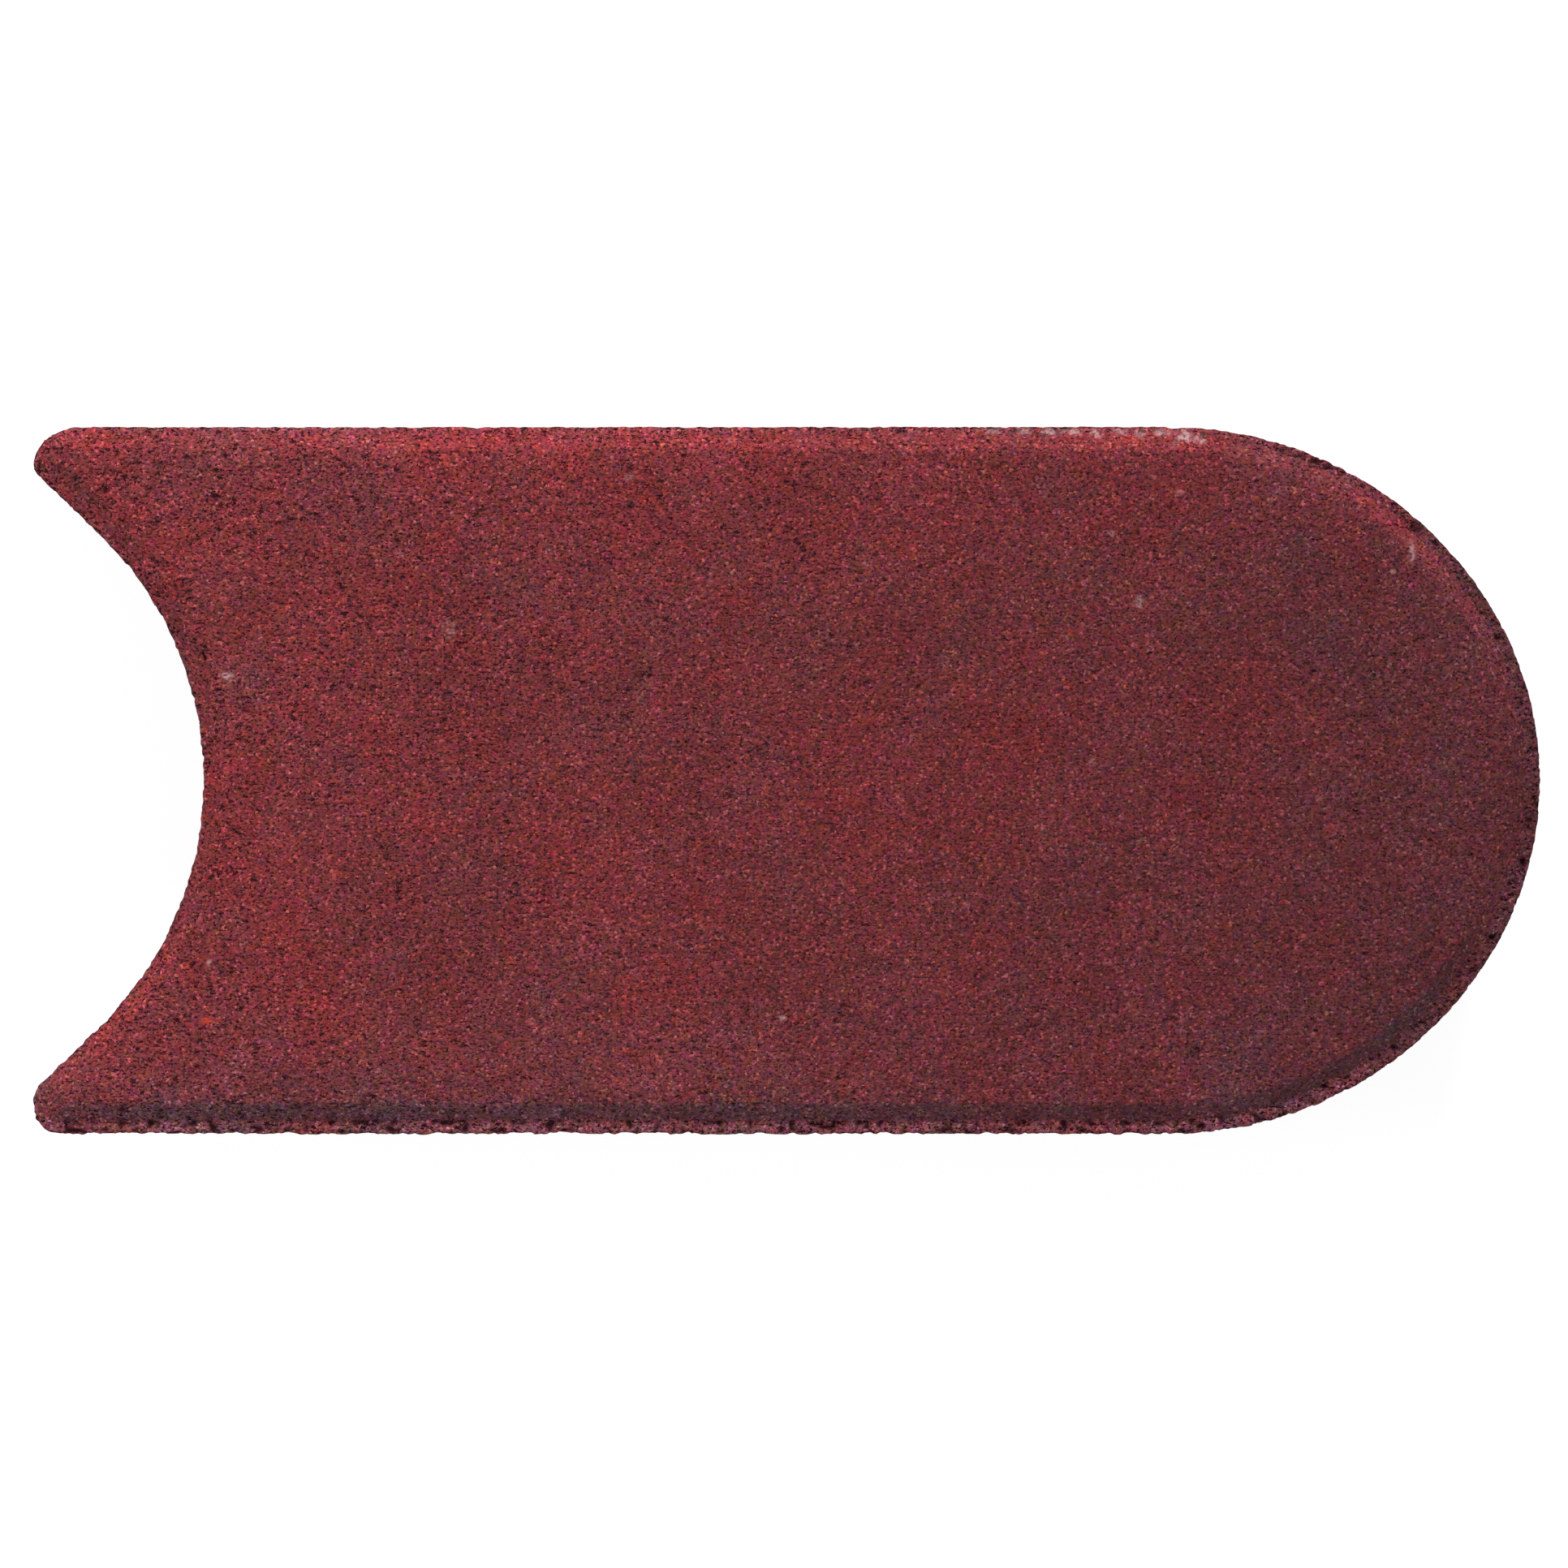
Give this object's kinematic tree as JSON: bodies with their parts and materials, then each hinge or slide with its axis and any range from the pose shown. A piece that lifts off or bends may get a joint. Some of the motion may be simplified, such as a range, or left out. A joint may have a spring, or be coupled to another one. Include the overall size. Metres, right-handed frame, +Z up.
{
  "type": "lawn edging stone",
  "caption": "Flat red concrete lawn edging stone with a round nose at one end and a matching nest at the other, so a row of them can follow a curve.",
  "frame": {"origin": "middle of the outline, on the bed face that the stone lies on", "axes": "+X along the length towards the round nose, +Y across the width, +Z up out of the top face"},
  "size_m": [0.245, 0.115, 0.045],
  "materials": {
    "red_concrete": "fine-grained pressed concrete, through-coloured oxide red, matte and open-pored, with a soft pale bloom along one long edge"
  },
  "bodies": {
    "root": {"edging_stone": "red_concrete"}
  },
  "joints": []
}
